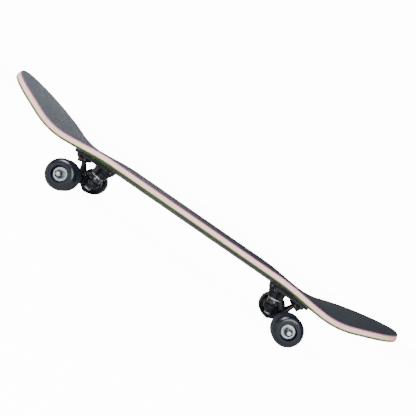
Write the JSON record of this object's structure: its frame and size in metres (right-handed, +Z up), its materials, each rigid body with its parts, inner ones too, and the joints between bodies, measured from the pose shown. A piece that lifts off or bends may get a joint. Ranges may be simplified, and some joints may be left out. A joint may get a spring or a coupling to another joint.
{
  "type": "skateboard",
  "caption": "Skateboard: pressed ply deck with upturned nose and tail, grip tape, inboard-kingpin trucks and urethane wheels on ball bearings.",
  "frame": {"origin": "on the ground, midway between the two axles and under the middle of the deck", "axes": "+X towards the tail, +Y to the right of a rider facing the nose, +Z up"},
  "size_m": [0.8061, 0.2096, 0.1304],
  "materials": {
    "maple_ply": "pale sealed maple veneer, glue lines between plies",
    "green_stained_ply": "dark green stained veneer with a worn black pattern, clear lacquer",
    "pink_stained_ply": "pink stained veneer",
    "grip_tape": "black silicon carbide grit, slightly blue, worn at the edge",
    "black_zinc_steel": "black zinc plate",
    "zinc_plated_steel": "bright zinc plate",
    "bright_steel": "ground steel",
    "bearing_steel": "ground bearing steel",
    "shield_steel": "pressed bright shield",
    "cage_nylon": "brown moulded nylon",
    "black_rubber": "matt black rubber",
    "black_cast_alloy": "satin black paint over cast alloy",
    "black_urethane": "glossy black cast urethane",
    "wheel_urethane": "satin black cast urethane"
  },
  "bodies": {
    "board": {"ply_1": "green_stained_ply", "ply_2": "green_stained_ply", "ply_3": "maple_ply", "ply_4": "maple_ply", "ply_5": "maple_ply", "ply_6": "maple_ply", "ply_7": "pink_stained_ply", "grip_tape": "grip_tape", "mounting_bolts": "black_zinc_steel", "mounting_nuts": "black_zinc_steel", "front_riser_pad": "black_rubber", "front_baseplate": "black_cast_alloy", "front_pivot_cup": "black_urethane", "front_kingpin": "zinc_plated_steel", "front_kingpin_nut": "black_zinc_steel", "front_upper_cup_washer": "zinc_plated_steel", "front_lower_cup_washer": "zinc_plated_steel", "front_upper_bushing": "black_urethane", "front_lower_bushing": "black_urethane", "rear_riser_pad": "black_rubber", "rear_baseplate": "black_cast_alloy", "rear_pivot_cup": "black_urethane", "rear_kingpin": "zinc_plated_steel", "rear_kingpin_nut": "black_zinc_steel", "rear_upper_cup_washer": "zinc_plated_steel", "rear_lower_cup_washer": "zinc_plated_steel", "rear_upper_bushing": "black_urethane", "rear_lower_bushing": "black_urethane"},
    "front_hanger": {"front_hanger": "black_cast_alloy", "front_axle": "bright_steel", "front_axle_nuts": "black_zinc_steel", "front_speed_washers": "zinc_plated_steel", "front_bearing_spacers": "zinc_plated_steel", "front_bearing_inner_rings": "bearing_steel"},
    "front_left_wheel": {"front_left_wheel": "wheel_urethane", "front_left_bearing_outer_rings": "bearing_steel", "front_left_bearing_shields": "shield_steel"},
    "front_left_balls": {"front_left_bearing_balls": "bearing_steel", "front_left_bearing_cages": "cage_nylon"},
    "front_right_wheel": {"front_right_wheel": "wheel_urethane", "front_right_bearing_outer_rings": "bearing_steel", "front_right_bearing_shields": "shield_steel"},
    "front_right_balls": {"front_right_bearing_balls": "bearing_steel", "front_right_bearing_cages": "cage_nylon"},
    "rear_hanger": {"rear_hanger": "black_cast_alloy", "rear_axle": "bright_steel", "rear_axle_nuts": "black_zinc_steel", "rear_speed_washers": "zinc_plated_steel", "rear_bearing_spacers": "zinc_plated_steel", "rear_bearing_inner_rings": "bearing_steel"},
    "rear_left_wheel": {"rear_left_wheel": "wheel_urethane", "rear_left_bearing_outer_rings": "bearing_steel", "rear_left_bearing_shields": "shield_steel"},
    "rear_left_balls": {"rear_left_bearing_balls": "bearing_steel", "rear_left_bearing_cages": "cage_nylon"},
    "rear_right_wheel": {"rear_right_wheel": "wheel_urethane", "rear_right_bearing_outer_rings": "bearing_steel", "rear_right_bearing_shields": "shield_steel"},
    "rear_right_balls": {"rear_right_bearing_balls": "bearing_steel", "rear_right_bearing_cages": "cage_nylon"}
  },
  "joints": [
    {"name": "front_steer", "type": "hinge", "parent": "board", "child": "front_hanger", "pos_m": [-0.22989, 0, 0.0589], "axis": [-0.781, 0, 0.6245], "range_deg": [-12, 12], "stiffness_Nm_per_rad": 60, "deforming": ["front_upper_bushing", "front_lower_bushing"]},
    {"name": "front_left_wheel_spin", "type": "hinge", "parent": "front_hanger", "child": "front_left_wheel", "pos_m": [-0.21674, -0.0834, 0.026], "axis": [0, 1, 0], "continuous": true},
    {"name": "front_left_ball_roll", "type": "hinge", "parent": "front_hanger", "child": "front_left_balls", "pos_m": [-0.21674, -0.0834, 0.026], "axis": [0, 1, 0], "continuous": true},
    {"name": "front_right_wheel_spin", "type": "hinge", "parent": "front_hanger", "child": "front_right_wheel", "pos_m": [-0.21674, 0.0834, 0.026], "axis": [0, 1, 0], "continuous": true},
    {"name": "front_right_ball_roll", "type": "hinge", "parent": "front_hanger", "child": "front_right_balls", "pos_m": [-0.21674, 0.0834, 0.026], "axis": [0, 1, 0], "continuous": true},
    {"name": "rear_steer", "type": "hinge", "parent": "board", "child": "rear_hanger", "pos_m": [0.22989, 0, 0.0589], "axis": [0.781, 0, 0.6245], "range_deg": [-12, 12], "stiffness_Nm_per_rad": 60, "deforming": ["rear_upper_bushing", "rear_lower_bushing"]},
    {"name": "rear_left_wheel_spin", "type": "hinge", "parent": "rear_hanger", "child": "rear_left_wheel", "pos_m": [0.21674, -0.0834, 0.026], "axis": [0, 1, 0], "continuous": true},
    {"name": "rear_left_ball_roll", "type": "hinge", "parent": "rear_hanger", "child": "rear_left_balls", "pos_m": [0.21674, -0.0834, 0.026], "axis": [0, 1, 0], "continuous": true},
    {"name": "rear_right_wheel_spin", "type": "hinge", "parent": "rear_hanger", "child": "rear_right_wheel", "pos_m": [0.21674, 0.0834, 0.026], "axis": [0, 1, 0], "continuous": true},
    {"name": "rear_right_ball_roll", "type": "hinge", "parent": "rear_hanger", "child": "rear_right_balls", "pos_m": [0.21674, 0.0834, 0.026], "axis": [0, 1, 0], "continuous": true}
  ],
  "couplings": [
    {"joint": "front_left_ball_roll", "follows": "front_left_wheel_spin", "ratio": 0.6323},
    {"joint": "front_right_ball_roll", "follows": "front_right_wheel_spin", "ratio": 0.6323},
    {"joint": "rear_left_ball_roll", "follows": "rear_left_wheel_spin", "ratio": 0.6323},
    {"joint": "rear_right_ball_roll", "follows": "rear_right_wheel_spin", "ratio": 0.6323}
  ]
}
